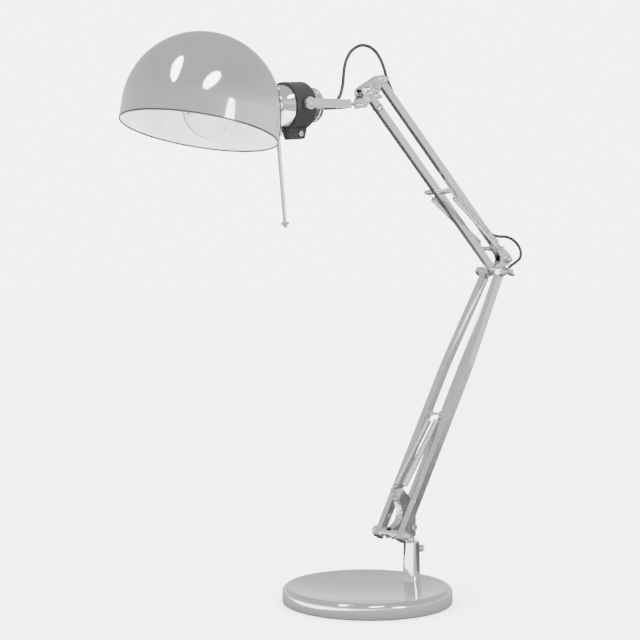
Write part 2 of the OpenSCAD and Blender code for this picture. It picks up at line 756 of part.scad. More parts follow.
module front_bar_screw() {
    color("gainsboro") on_upper(E1) {
        p = [0, 0, upper_len - plug_at];
        rod_y(p, rivet_r, -bar_w / 2 - 1, bar_w / 2 + 1);
        rod_y(p, 3.2, bar_w / 2 + seat, bar_w / 2 + 1.4);
        rod_y(p, 3.6, -bar_w / 2 - 0.8, -bar_w / 2 - seat);
        intersection() {
            translate([p[0], -bar_w / 2 - 0.7, p[2]]) sphere(r = 2.9);
            rod_y(p, 3, -bar_w / 2 - 9, -bar_w / 2 - 0.7);
        }
    }
}

// Pin through the front bar, with a sleeve on each side that sets the spring's place.
module upper_cross_pin() {
    end_y = upper_spring_y[0] + 2.3;
    sleeve_y = upper_spring_y[0] - 1;
    p = [upper_pin_set, 0, upper_pin_at];
    color("gainsboro") on_upper(E1) {
        rod_y(p, spring_pin_d / 2, -end_y, end_y);
        for (s = [-1, 1]) {
            rod_y(p, 2.5, s > 0 ? bar_w / 2 + seat : -sleeve_y, s > 0 ? sleeve_y : -bar_w / 2 - seat);
            rod_y(p, 2.2, s > 0 ? end_y - 1.1 : -end_y, s > 0 ? end_y : 1.1 - end_y);
        }
    }
}

// The upper springs loop round a stud at one end and the pin at the other.
module upper_spring() {
    y = upper_spring_y[1];
    spring_solid(upper_hook, upper_pin, y, upper_spring_y[0], upper_spring_d, 8, 9, 1.6);
    ring_y(upper_hook, 2.1, 1.2 + 0.1, y - 0.6, y + 0.6);
}

module upper_spring_far() {
    color("lightgray") upper_spring();
}

module upper_spring_near() {
    color("lightgray") mirror([0, 1, 0]) upper_spring();
}

// The rear bar's elbow end narrows to a tongue that fits inside the rear link.
module upper_rear_bar() {
    color("silver") on_upper(E2) {
        difference() {
            channel_bar(upper_len, bar_d / 2, pin_r + fit, pin_r + fit);
            translate([-bar_d, -bar_w, -bar_d]) cube([2 * bar_d, 2 * bar_w, tongue_len + bar_d]);
        }
        sheet_y(-tongue_y, tongue_y) difference() {
            union() {
                translate([-bar_d / 2, 0]) square([bar_d, tongue_len]);
                circle(r = bar_d / 2);
                translate([-bar_d / 2, tongue_len - 0.5]) square([bar_d, 3]);
            }
            circle(r = pin_r + fit);
        }
    }
}

// ---------- head bracket ----------

module head_plate_outline() {
    difference() {
        union() {
            polygon([head_edge[0], head_edge[1], [H2[0] + 3.2, H2[2] + 3.4],
                [H2[0] + 4.4, H2[2] - 1.6], [H2[0] - 0.5, H2[2] - 5], [H1[0] + 4, H1[2] - 4.4],
                [H1[0] - 0.8, H1[2] - 5.6], [H1[0] - 7.4, H1[2] - 3.4]]);
            translate([H1[0], H1[2]]) circle(r = 5.6);
            translate([H2[0], H2[2]]) circle(r = 4.8);
        }
        translate([H1[0], H1[2]]) circle(r = clear_r);
        translate([H2[0], H2[2]]) circle(r = pin_r + fit);
    }
}

module head_bracket() {
    color("silver") {
        for (y = [-plate_y, inner_y]) sheet_y(y, y + bracket_t) head_plate_outline();
        sheet_y(-plate_y, plate_y) let (d = unit(head_edge[1] - head_edge[0]))
            polygon([head_edge[0], head_edge[1], head_edge[1] + bracket_t * [d[1], -d[0]],
                head_edge[0] + bracket_t * [d[1], -d[0]]]);
    }
}

module head_bolt() {
    color("gainsboro") {
        rod_y(H1, bolt_d / 2, -strap_out - 10, strap_out + 1);
        rod_y(H1, 3.4, strap_out + seat, strap_out + 1.6);
        hex_y(H1, 4.8, strap_out + 1.5, strap_out + 6.4, 15);
    }
}

module head_washers() {
    color("gainsboro") {
        bar_washers(H1, 3.4, clear_r);
        bar_washers(H2, 3.2, pin_r + fit);
    }
}

module head_rear_pin() {
    color("gainsboro") rear_pin(H2);
}

module head_rear_nut() {
    color("gainsboro") dome_nut(H2);
}

module head_wing_nut() {
    color("gainsboro") wing_nut(H1, -strap_out - seat, 60);
}

// ---------- rod and yoke ----------

// A folded strap that hangs the head rod from the head bolt.
module rod_strap() {
    web_h = 4;
    color("silver") on_head() difference() {
        union() {
            for (y = [-strap_out, strap_in]) sheet_y(y, y + bracket_t) union() {
                translate([rod_reach, rod_drop]) circle(r = 4.6);
                polygon([[rod_reach + 2.6, rod_drop - 3.7], [rod_reach - 4, rod_drop + 2.2],
                    [strap_web_x - bracket_t, web_h], [strap_web_x - bracket_t, -web_h],
                    [strap_web_x + 3, -web_h]]);
            }
            translate([strap_web_x - bracket_t, -strap_out, -web_h])
                cube([bracket_t, 2 * strap_out, 2 * web_h]);
        }
        rod_y([rod_reach, 0, rod_drop], clear_r, -20, 20);
        translate([strap_web_x - 5, 0, 0]) rotate([0, 90, 0])
            cylinder(r = rod_d / 2 - 0.3 + fit, h = 9);
    }
}

module head_rod() {
    color("silver") on_head() rotate([0, 90, 0]) {
        translate([0, 0, yoke_back - yoke_t - 1])
            cylinder(r = rod_d / 2 - 0.3, h = strap_web_x - yoke_back + yoke_t + 4);
        translate([0, 0, yoke_back + seat])
            cylinder(r = rod_d / 2, h = strap_web_x - bracket_t - yoke_back - 2 * seat);
        translate([0, 0, yoke_back - yoke_t - 1.6]) cylinder(r = 2.4, h = 1.6 - seat);
    }
}

module rod_nut() {
    color("gainsboro") on_head() rotate([0, 90, 0]) difference() {
        translate([0, 0, strap_web_x + seat]) cylinder(r = 3, h = 2.2, $fn = 6);
        cylinder(r = rod_d / 2 - 0.3 + seat, h = 2 * rod_reach);
    }
}

// Half the plan of the yoke: an inner line and an outer line the bar's thickness apart.
function yoke_line(off) = [[yoke_back - yoke_t + off, 0],
    [yoke_back - yoke_t + off, crotch_y + off], [yoke_front - 1, crotch_y + off],
    [yoke_flare, arm_y - 5.5 + off], [11.5, arm_y + off], [0, arm_y + off]];

module yoke() {
    eye_r = yoke_h / 2 + 1.2;
    color("silver") on_head() difference() {
        for (s = [-1, 1]) {
            translate([0, 0, -yoke_h / 2]) linear_extrude(yoke_h)
                polygon([for (p = concat(yoke_line(yoke_t), backwards(yoke_line(0))))
                    [p[0], s * p[1]]]);
            rod_y([0, 0, 0], eye_r, s > 0 ? arm_y : -arm_y - yoke_t,
                s > 0 ? arm_y + yoke_t : -arm_y);
        }
        rod_y([0, 0, 0], clear_r, -2 * arm_y, 2 * arm_y);
        rotate([0, 90, 0]) cylinder(r = rod_d / 2 - 0.3 + seat, h = 2 * yoke_back);
    }
}

// Screws that hold the clamp ring in the yoke, one on each side.
module yoke_screws() {
    out = arm_y + yoke_t + seat;
    color("gainsboro") on_head() for (s = [-1, 1]) {
        rod_y([0, 0, 0], bolt_d / 2, s > 0 ? clamp_r - 1 : -out - 3.4, s > 0 ? out + 3.4 : 1 - clamp_r);
        rod_y([0, 0, 0], 5.2, s > 0 ? out : -out - 0.9, s > 0 ? out + 0.9 : -out);
        hex_y([0, 0, 0], 3.7, s > 0 ? out + 0.8 : -out - 3, s > 0 ? out + 3 : -out - 0.8, 12);
    }
}

module yoke_washers() {
    color("gainsboro") on_head() for (s = [-1, 1])
        ring_y([0, 0, 0], 4.8, clear_r, s > 0 ? boss_y + seat : -boss_y - seat - washer_t,
            s > 0 ? boss_y + seat + washer_t : -boss_y - seat);
}

// ---------- head ----------

// A split plastic ring with a tapered lug below and a boss on each side.
module clamp_ring() {
    slit = 1.2;
    lug_top = [clamp_w / 2, 6.4];
    lug_foot = [8, 3.6];
    color("#1e1f21") on_head() difference() {
        union() {
            tube_x(clamp_r, sleeve_d / 2 + seat, -clamp_w / 2, clamp_w / 2);
            difference() {
                for (s = [-1, 1]) rod_y([0, 0, 0], 5.6, s > 0 ? sleeve_d / 2 - 1 : -boss_y,
                    s > 0 ? boss_y : 1 - sleeve_d / 2);
                rotate([0, 90, 0]) cylinder(r = sleeve_d / 2 + seat, h = 60, center = true);
            }
            intersection() {
                deep_x(-clamp_w / 2, clamp_w / 2) polygon([[-lug_top[1], 4 - clamp_r],
                    [-lug_foot[1], -lug_drop], [lug_foot[1], -lug_drop],
                    [lug_top[1], 4 - clamp_r]]);
                sheet_y(-20, 20) polygon([[-lug_top[0], 2 - clamp_r], [-lug_foot[0], -lug_drop],
                    [lug_foot[0], -lug_drop], [lug_top[0], 2 - clamp_r]]);
                difference() {
                    cube([clamp_w, 40, 80], center = true);
                    rotate([0, 90, 0])
                        cylinder(r = sleeve_d / 2 + 1, h = 60, center = true);
                }
            }
        }
        translate([-clamp_w, -slit / 2, -lug_drop - 1]) cube([2 * clamp_w, slit, clamp_r]);
        rod_y([0, 0, 0], bolt_d / 2 + seat, -40, 40);
        rod_y(clamp_screw_at, rivet_r + fit, -20, 20);
    }
}

module clamp_screw() {
    p = clamp_screw_at;
    color("gainsboro") on_head() {
        rod_y(p, rivet_r, -5.6, 5.6);
        difference() {
            rod_y(p, 2.2, -6.8, -5.5);
            translate([p[0] - 3, -7.8, p[2] - 0.4]) cube([6, 1.8, 0.8]);
        }
        hex_y(p, 2.5, 5.5, 7.1);
    }
}

// The bright sleeve, its front end shaped to sit on the dome.
module holder_sleeve() {
    color("silver") on_head() difference() {
        tube_x(sleeve_d / 2, sleeve_d / 2 - sleeve_wall, -dome_reach + 50, sleeve_end);
        translate([-dome_reach, 0, -dome_drop]) sphere(r = shade_r + seat, $fn = 180);
        rod_y([0, 0, 0], bolt_d / 2 + seat, -40, 40);
    }
}

// The rear cap closes the sleeve and lets the lead out of its middle.
module holder_cap() {
    edge = 3.5;
    back = sleeve_end + 13.3;
    ridge_r = cap_d / 2 + 0.8;
    plug_r = sleeve_d / 2 - sleeve_wall - seat;
    color("silver") on_head() difference() {
        union() {
            turned_x([[sleeve_end - 5, 0], [sleeve_end - 5, plug_r], [sleeve_end + seat, plug_r],
                [sleeve_end + seat, ridge_r], [sleeve_end + 2, ridge_r],
                [sleeve_end + 2.6, cap_d / 2], [back - edge, cap_d / 2],
                [back - edge * 0.62, cap_d / 2 - edge * 0.08],
                [back - edge * 0.29, cap_d / 2 - edge * 0.29],
                [back - edge * 0.08, cap_d / 2 - edge * 0.62], [back, cap_d / 2 - edge],
                [back, 3.6], [back + 2.5, 3], [back + 2.5, 0]]);
        }
        turned_x([[sleeve_end - 6, 0], [sleeve_end - 6, plug_r - 1.4], [back - 2, plug_r - 4],
            [back - 1.4, 0]]);
        rotate([0, 90, 0]) cylinder(r = lead_d / 2 + gap / 2, h = 60);
    }
}

module socket_body() {
    flange_r = sleeve_d / 2 - sleeve_wall - seat;
    mouth_r = 8.3;
    deep = 34;
    color("#d8d4c8") on_head() difference() {
        union() {
            turned_x([[socket_in, 0], [socket_in, neck_r - 0.6], [shade_face + 0.6, neck_r - 0.6],
                [shade_face + 0.6, flange_r], [shade_face + 4.6, flange_r],
                [shade_face + 4.6, neck_r], [socket_in + deep + 8, neck_r],
                [socket_in + deep + 8, 0]]);
        }
        turned_x([[socket_in - 1, 0], [socket_in - 1, mouth_r], [socket_in + deep, mouth_r],
            [socket_in + deep, 0]]);
    }
}

// The threaded shell and the sprung centre contact in the socket.
module socket_contacts() {
    color("goldenrod") on_head() {
        tube_x(8.3 - seat, 7.6, socket_in + 6, socket_in + 30);
        turned_x([[socket_in + 31.2, 0], [socket_in + 31.2, 3], [socket_in + 32, 3.4],
            [socket_in + 33.9, 3.4], [socket_in + 33.9, 0]]);
    }
}

// Dome with a straight skirt, open below, with a hole for the holder's neck.
module shade() {
    color("silver") on_head() translate([-dome_reach, 0, -dome_drop]) difference() {
        rotate([0, shade_cant, 0]) difference() {
            union() {
                sphere(r = shade_r, $fn = 180);
                translate([0, 0, -skirt]) cylinder(r = shade_r, h = skirt, $fn = 180);
            }
            sphere(r = shade_r - shade_wall, $fn = 180);
            translate([0, 0, -skirt - shade_r])
                cylinder(r = shade_r - shade_wall, h = skirt + shade_r, $fn = 180);
            translate([0, 0, -skirt - 2 * shade_r])
                cylinder(r = 2 * shade_r, h = 2 * shade_r, $fn = 180);
        }
        translate([0, 0, dome_drop]) rotate([0, 90, 0]) cylinder(r = neck_r, h = 2 * shade_r);
    }
}

// Threaded ring that pulls the shade onto the sleeve.
module shade_ring() {
    color("#e9e9e6") on_head() difference() {
        tube_x(ring_r, neck_r - 0.6 + seat, shade_face - ring_back - 4.2, shade_face - ring_back);
        for (a = [0:30:330]) rotate([a, 0, 0])
            translate([shade_face - ring_back - 5, ring_r - 0.5, -0.8]) cube([7, 3, 1.6]);
    }
}

// Half outline of the globe and its neck, grown outwards by an amount.
module globe_outline(grow) {
    neck = bulb_r + 12.5;
    intersection() {
        union() {
            circle(r = bulb_r + grow, $fn = 96);
            polygon([[0, 0], [bulb_r * 0.8 + grow, bulb_r * 0.6], [bulb_r * 0.52 + grow, bulb_r * 0.96],
                [bulb_r * 0.36 + grow, bulb_r * 1.16], [7.2 + grow, bulb_r + 9], [6.6 + grow, neck],
                [0, neck]]);
        }
        translate([0, -2 * bulb_r]) square([2 * bulb_r, 5 * bulb_r]);
    }
}

module bulb_globe() {
    glass_t = 0.8;
    color([1, 1, 1, 0.4]) on_head() translate([bulb_mid, 0, 0]) rotate([0, 90, 0])
        rotate_extrude($fn = 96) difference() {
            globe_outline(0);
            globe_outline(-glass_t);
        }
}

module bulb_cap() {
    start = bulb_mid + bulb_r + 12.5 + seat;
    end = socket_in + 31;
    color("silver") on_head() turned_x([[start, 0], [start, 7], [end - 6, 7], [end - 3, 4.5],
        [end - 2.8, 2.4], [end - seat, 2], [end - seat, 0]]);
}

// A hand rod below the sleeve, held by a clip plate.
module handle_rod() {
    top = -sleeve_d / 2 - seat;
    clip = [4.6, 5, 7.4];
    color("gainsboro") on_head() translate([handle_x, 0, 0]) {
        translate([-clip[0] / 2, -clip[1] / 2, top - clip[2]]) cube(clip);
        translate([0, 0, top - handle_len]) cylinder(r = handle_d / 2, h = handle_len - 2);
    }
}

module handle_tip() {
    top = -sleeve_d / 2 - seat - handle_len - seat;
    color("#4a4a4c") on_head() translate([handle_x, 0, 0]) {
        translate([0, 0, top - 2.4]) cylinder(r = 3.4, h = 2.4);
        translate([0, 0, top - 5]) cylinder(r1 = 1.3, r2 = 2.1, h = 2.7);
    }
}

base_cover();
base_weight();
base_pad();
post();
post_bolt();
post_screw();
swivel_pin();
base_bracket();
bracket_rivets();
lower_pivot_bolt();
lower_pivot_nut();
lower_spacers();
link_washers_low();
rail_far();
rail_near();
rail_plugs();
lower_cross_pin();
elbow_bolt();
lower_spring_far();
lower_spring_near();
rear_link();
elbow_bracket();
elbow_spacers();
elbow_rear_pin();
elbow_rear_nut();
elbow_wing_nut();
elbow_studs();
upper_front_bar();
front_bar_plug();
front_bar_screw();
upper_cross_pin();
upper_spring_far();
upper_spring_near();
upper_rear_bar();
head_bracket();
head_bolt();
head_washers();
head_rear_pin();
head_rear_nut();
head_wing_nut();
rod_strap();
head_rod();
rod_nut();
yoke();
yoke_screws();
yoke_washers();
clamp_ring();
clamp_screw();
holder_sleeve();
holder_cap();
socket_body();
socket_contacts();
shade();
shade_ring();
bulb_globe();
bulb_cap();
handle_rod();
handle_tip();
head_lead();
elbow_lead();
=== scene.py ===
"""The looks of an adjustable desk lamp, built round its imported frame. Lengths are in metres."""

import json
import math

import bmesh
import bpy
from mathutils import Matrix, Vector


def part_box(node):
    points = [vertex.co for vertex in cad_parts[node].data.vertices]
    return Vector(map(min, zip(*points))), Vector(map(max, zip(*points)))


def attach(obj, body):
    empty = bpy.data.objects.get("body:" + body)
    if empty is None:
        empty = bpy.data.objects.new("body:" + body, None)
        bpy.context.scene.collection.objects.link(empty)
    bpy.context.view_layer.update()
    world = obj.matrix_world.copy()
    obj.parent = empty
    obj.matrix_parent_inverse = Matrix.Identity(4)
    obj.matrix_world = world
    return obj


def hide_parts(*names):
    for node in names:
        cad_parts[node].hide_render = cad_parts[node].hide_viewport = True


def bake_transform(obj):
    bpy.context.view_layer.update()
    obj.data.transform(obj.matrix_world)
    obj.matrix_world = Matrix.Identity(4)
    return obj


MM = 0.001
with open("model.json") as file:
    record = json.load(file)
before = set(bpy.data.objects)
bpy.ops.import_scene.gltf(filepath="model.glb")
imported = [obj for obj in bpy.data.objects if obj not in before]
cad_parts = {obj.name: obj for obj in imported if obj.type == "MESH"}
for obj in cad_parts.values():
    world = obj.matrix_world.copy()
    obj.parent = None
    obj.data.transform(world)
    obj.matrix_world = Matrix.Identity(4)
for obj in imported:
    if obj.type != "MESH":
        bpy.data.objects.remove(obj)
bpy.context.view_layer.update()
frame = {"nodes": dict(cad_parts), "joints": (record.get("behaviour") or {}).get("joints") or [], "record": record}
JOINTS = {joint["name"]: joint for joint in frame["joints"]}
BODY_OF = {node: body for body, nodes in frame["record"]["behaviour"]["bodies"].items() for node in nodes}
SLOT_OF = {part["node"]: part["material_slot"] for part in frame["record"]["subparts"]}


def pivot(joint):
    return Vector(JOINTS[joint]["pos_m"])


# The pivots of the two parallelograms, from the base up to the shade.
LOW_PIVOT = pivot("lower_arm")
ELBOW = pivot("upper_arm")
ELBOW_REAR = pivot("link_top")
HEAD = pivot("head_tilt")
HEAD_REAR = pivot("head_level")
YOKE = pivot("shade_tilt")
LOW_REAR = LOW_PIVOT + (ELBOW_REAR - ELBOW)
LOWER_UP = (ELBOW - LOW_PIVOT).normalized()
UPPER_UP = (HEAD - ELBOW).normalized()
LOWER_BACK = Vector((LOWER_UP.z, 0, -LOWER_UP.x))
UPPER_BACK = Vector((UPPER_UP.z, 0, -UPPER_UP.x))
ROD_AXIS = Vector(JOINTS["fork_roll"]["axis"]).normalized()
HEAD_UP = Vector((-ROD_AXIS.z, 0, ROD_AXIS.x))


def head_point(x, y, z):
    """A point in the head's own frame, in millimetres: x along the rod, z up, from the yoke's pivot."""
    return YOKE + ROD_AXIS * x * MM + Vector((0, y * MM, 0)) + HEAD_UP * z * MM


# ---------------------------------------------------------------- camera

SENSOR_WIDTH = 36
LENS = 79.5
CAMERA_PLACE = (-0.8352, -0.9192, 0.2783)
CAMERA_YAW = 0.8669
CAMERA_PITCH = -0.0242


def make_camera():
    data = bpy.data.cameras.new("camera")
    data.sensor_width = SENSOR_WIDTH
    data.lens = LENS
    camera = bpy.data.objects.new("camera", data)
    bpy.context.scene.collection.objects.link(camera)
    level = math.cos(CAMERA_PITCH)
    look = Vector((math.cos(CAMERA_YAW) * level, math.sin(CAMERA_YAW) * level, math.sin(CAMERA_PITCH)))
    camera.location = CAMERA_PLACE
    camera.rotation_mode = "QUATERNION"
    camera.rotation_quaternion = look.to_track_quat("-Z", "Y")
    data.clip_start, data.clip_end = 0.01, 50
    bpy.context.scene.camera = camera


# ---------------------------------------------------------------- finishes

def value_node(nodes, kind, **sockets):
    node = nodes.new(kind)
    for name, value in sockets.items():
        node.inputs[name.replace("_", " ")].default_value = value
    return node


def open_group(name, inputs):
    """A surface group with its number inputs, a colour input, and colour, roughness and height outputs."""
    group = bpy.data.node_groups.new(name, "ShaderNodeTree")
    face = group.interface
    for socket, default in inputs:
        face.new_socket(socket, in_out="INPUT", socket_type="NodeSocketFloat").default_value = default
    face.new_socket("Colour", in_out="INPUT", socket_type="NodeSocketColor")
    face.new_socket("Colour", in_out="OUTPUT", socket_type="NodeSocketColor")
    face.new_socket("Roughness", in_out="OUTPUT", socket_type="NodeSocketFloat")
    face.new_socket("Height", in_out="OUTPUT", socket_type="NodeSocketFloat")
    nodes = group.nodes
    source = nodes.new("NodeGroupInput")
    sink = nodes.new("NodeGroupOutput")
    place = nodes.new("ShaderNodeTexCoord")
    return group, nodes, group.links, source, sink, place


def make_polish_group():
    """Fine hairlines and faint smears on plated metal."""
    group, nodes, links, source, sink, place = open_group("plated_polish", (
        ("Smear Scale", 30.0), ("Hairline Scale", 900.0), ("Roughness Low", 0.04),
        ("Roughness High", 0.12), ("Tone", 0.03), ("Depth", 0.02)))
    smear = value_node(nodes, "ShaderNodeTexNoise", Detail=4.0, Roughness=0.55)
    links.new(place.outputs["Object"], smear.inputs["Vector"])
    links.new(source.outputs["Smear Scale"], smear.inputs["Scale"])
    stretch = nodes.new("ShaderNodeMapping")
    stretch.inputs["Scale"].default_value = (1.0, 1.0, 0.06)
    links.new(place.outputs["Object"], stretch.inputs["Vector"])
    hairline = value_node(nodes, "ShaderNodeTexNoise", Detail=2.0, Roughness=0.7)
    links.new(stretch.outputs["Vector"], hairline.inputs["Vector"])
    links.new(source.outputs["Hairline Scale"], hairline.inputs["Scale"])
    blend = nodes.new("ShaderNodeMath")
    blend.operation = "MULTIPLY"
    links.new(smear.outputs["Fac"], blend.inputs[0])
    links.new(hairline.outputs["Fac"], blend.inputs[1])
    spread = nodes.new("ShaderNodeMapRange")
    spread.inputs["From Min"].default_value = 0.12
    spread.inputs["From Max"].default_value = 0.42
    links.new(blend.outputs[0], spread.inputs["Value"])
    links.new(source.outputs["Roughness Low"], spread.inputs["To Min"])
    links.new(source.outputs["Roughness High"], spread.inputs["To Max"])
    links.new(spread.outputs["Result"], sink.inputs["Roughness"])
    tone = nodes.new("ShaderNodeMapRange")
    links.new(smear.outputs["Fac"], tone.inputs["Value"])
    links.new(source.outputs["Tone"], tone.inputs["To Min"])
    tone.inputs["To Max"].default_value = 0.0
    darker = nodes.new("ShaderNodeHueSaturation")
    keep = nodes.new("ShaderNodeMath")
    keep.operation = "SUBTRACT"
    keep.inputs[0].default_value = 1.0
    links.new(tone.outputs["Result"], keep.inputs[1])
    links.new(keep.outputs[0], darker.inputs["Value"])
    links.new(source.outputs["Colour"], darker.inputs["Color"])
    links.new(darker.outputs["Color"], sink.inputs["Colour"])
    depth = nodes.new("ShaderNodeMath")
    depth.operation = "MULTIPLY"
    links.new(hairline.outputs["Fac"], depth.inputs[0])
    links.new(source.outputs["Depth"], depth.inputs[1])
    links.new(depth.outputs[0], sink.inputs["Height"])
    return group


def make_grain_group():
    """The fine leather-like grain and slight colour change of moulded plastic and rubber."""
    group, nodes, links, source, sink, place = open_group("moulded_grain", (
        ("Grain Scale", 1500.0), ("Roughness Low", 0.4), ("Roughness High", 0.6), ("Tone", 0.15)))
    grain = value_node(nodes, "ShaderNodeTexNoise", Detail=3.0, Roughness=0.6)
    links.new(place.outputs["Object"], grain.inputs["Vector"])
    links.new(source.outputs["Grain Scale"], grain.inputs["Scale"])
    cloud = value_node(nodes, "ShaderNodeTexNoise", Scale=45.0, Detail=3.0)
    links.new(place.outputs["Object"], cloud.inputs["Vector"])
    spread = nodes.new("ShaderNodeMapRange")
    links.new(cloud.outputs["Fac"], spread.inputs["Value"])
    links.new(source.outputs["Roughness Low"], spread.inputs["To Min"])
    links.new(source.outputs["Roughness High"], spread.inputs["To Max"])
    links.new(spread.outputs["Result"], sink.inputs["Roughness"])
    tone = nodes.new("ShaderNodeMapRange")
    tone.inputs["To Min"].default_value = 1.0
    links.new(cloud.outputs["Fac"], tone.inputs["Value"])
    keep = nodes.new("ShaderNodeMath")
    keep.operation = "ADD"
    keep.inputs[0].default_value = 1.0
    links.new(source.outputs["Tone"], keep.inputs[1])
    links.new(keep.outputs[0], tone.inputs["To Max"])
    lighter = nodes.new("ShaderNodeHueSaturation")
    links.new(tone.outputs["Result"], lighter.inputs["Value"])
    links.new(source.outputs["Colour"], lighter.inputs["Color"])
    links.new(lighter.outputs["Color"], sink.inputs["Colour"])
    links.new(grain.outputs["Fac"], sink.inputs["Height"])
    return group


def new_material(name):
    material = bpy.data.materials.new(name)
    material.use_nodes = True
    nodes = material.node_tree.nodes
    return material, nodes, material.node_tree.links, nodes["Principled BSDF"]


def add_surface(name, group, colour, bump, metallic, **values):
    """A material fed by one of the surface groups, with its own numbers."""
    material, nodes, links, shader = new_material(name)
    surface = nodes.new("ShaderNodeGroup")
    surface.node_tree = group
    surface.inputs["Colour"].default_value = (*colour, 1)
    for socket, value in values.items():
        surface.inputs[socket.replace("_", " ")].default_value = value
    shader.inputs["Metallic"].default_value = metallic
    links.new(surface.outputs["Colour"], shader.inputs["Base Color"])
    links.new(surface.outputs["Roughness"], shader.inputs["Roughness"])
    relief = nodes.new("ShaderNodeBump")
    relief.inputs["Strength"].default_value = 1.0
    relief.inputs["Distance"].default_value = bump
    links.new(surface.outputs["Height"], relief.inputs["Height"])
    links.new(relief.outputs["Normal"], shader.inputs["Normal"])
    return material


def make_glass():
    """Clear glass with faint finger smears, which only its roughness shows."""
    material, nodes, links, shader = new_material("bulb_glass")
    shader.inputs["Base Color"].default_value = (1, 1, 1, 1)
    place = nodes.new("ShaderNodeTexCoord")
    smear = value_node(nodes, "ShaderNodeTexNoise", Scale=70.0, Detail=3.0)
    links.new(place.outputs["Object"], smear.inputs["Vector"])
    spread = value_node(nodes, "ShaderNodeMapRange", From_Min=0.45, From_Max=0.75, To_Min=0.01, To_Max=0.07)
    links.new(smear.outputs["Fac"], spread.inputs["Value"])
    links.new(spread.outputs["Result"], shader.inputs["Roughness"])
    shader.inputs["IOR"].default_value = 1.45
    shader.inputs["Transmission Weight"].default_value = 1.0
    return material


POLISH = make_polish_group()
GRAIN = make_grain_group()
FINISH = {}
FINISH["chrome"] = add_surface("chrome_plate", POLISH, (0.8, 0.8, 0.81), 0.00002, 1.0,
                               Roughness_Low=0.035, Roughness_High=0.1)
FINISH["bracket"] = add_surface("bracket_plate", POLISH, (0.72, 0.72, 0.74), 0.00004, 1.0,
                                Roughness_Low=0.1, Roughness_High=0.24, Smear_Scale=90.0)
FINISH["bar"] = add_surface("bar_plate", POLISH, (0.78, 0.78, 0.79), 0.00001, 1.0,
                            Roughness_Low=0.12, Roughness_High=0.26, Smear_Scale=60.0)
FINISH["fastener"] = add_surface("zinc_fastener", POLISH, (0.74, 0.74, 0.76), 0.00004, 1.0,
                                 Roughness_Low=0.18, Roughness_High=0.34, Smear_Scale=220.0)
FINISH["wing"] = add_surface("cast_wing", POLISH, (0.76, 0.76, 0.77), 0.00008, 1.0,
                             Roughness_Low=0.16, Roughness_High=0.32, Smear_Scale=300.0)
FINISH["spring"] = add_surface("spring_wire", POLISH, (0.72, 0.72, 0.73), 0.00003, 1.0,
                               Roughness_Low=0.15, Roughness_High=0.3, Smear_Scale=400.0)
FINISH["weight"] = add_surface("cast_weight", GRAIN, (0.05, 0.05, 0.052), 0.0004, 0.8,
                               Grain_Scale=400.0, Roughness_Low=0.6, Roughness_High=0.8)
FINISH["contact"] = add_surface("contact_brass", POLISH, (0.72, 0.55, 0.25), 0.00003, 1.0,
                                Roughness_Low=0.2, Roughness_High=0.35)
FINISH["bulb_cap"] = add_surface("cap_aluminium", POLISH, (0.8, 0.8, 0.8), 0.00003, 1.0,
                                 Roughness_Low=0.25, Roughness_High=0.4)
FINISH["black_plastic"] = add_surface("black_moulding", GRAIN, (0.008, 0.0085, 0.009), 0.00003, 0.0,
                                      Roughness_Low=0.36, Roughness_High=0.5)
FINISH["dark_tip"] = add_surface("grey_tip", GRAIN, (0.1, 0.1, 0.105), 0.00004, 0.0)
FINISH["pad"] = add_surface("soft_pad", GRAIN, (0.03, 0.03, 0.03), 0.0003, 0.0,
                            Grain_Scale=900.0, Roughness_Low=0.8, Roughness_High=0.95)
FINISH["socket"] = add_surface("socket_moulding", GRAIN, (0.75, 0.74, 0.71), 0.00003, 0.0,
                               Tone=0.05)
FINISH["socket_ring"] = add_surface("ring_moulding", GRAIN, (0.8, 0.8, 0.78), 0.00002, 0.0,
                                    Roughness_Low=0.25, Roughness_High=0.35, Tone=0.05)
FINISH["lead"] = add_surface("lead_sheath", GRAIN, (0.012, 0.012, 0.013), 0.000004, 0.0,
                             Roughness_Low=0.3, Roughness_High=0.42)
FINISH["glass"] = make_glass()
# The shade's inside: the same plated metal with painted brightness, near white and only half metallic, standing in
# for the light inside the shade.
FINISH["shade_inside"] = add_surface("shade_inside_painted_bright", POLISH, (0.95, 0.95, 0.95), 0.000005, 0.5,
                                     Smear_Scale=14.0, Hairline_Scale=200.0,
                                     Roughness_Low=0.2, Roughness_High=0.3)
# The rolled lip: the same plated metal painted dark, a painted dark reflection.
FINISH["shade_lip"] = add_surface("shade_lip_painted_dark_reflection", POLISH, (0.13, 0.13, 0.135), 0.00001, 1.0,
                                  Roughness_Low=0.25, Roughness_High=0.4)


# ---------------------------------------------------------------- ways of making a piece

def finished(mesh_tool, name, slot, smooth_angle=40):
    """Turns a bmesh into a piece in the row's frame, smooth except at its hard edges."""
    mesh = bpy.data.meshes.new(name)
    bmesh.ops.remove_doubles(mesh_tool, verts=mesh_tool.verts, dist=1e-6)
    mesh_tool.to_mesh(mesh)
    mesh_tool.free()
    piece = bpy.data.objects.new(name, mesh)
    bpy.context.scene.collection.objects.link(piece)
    mesh.polygons.foreach_set("use_smooth", [True] * len(mesh.polygons))
    mesh.set_sharp_from_angle(angle=math.radians(smooth_angle))
    piece.data.materials.append(FINISH[slot])
    return piece


def settle(piece, node=None, body=None):
    """Says which body a piece rides on and which node it stands for, whose solid it hides."""
    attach(piece, body or BODY_OF[node])
    if node:
        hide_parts(node)
    return piece


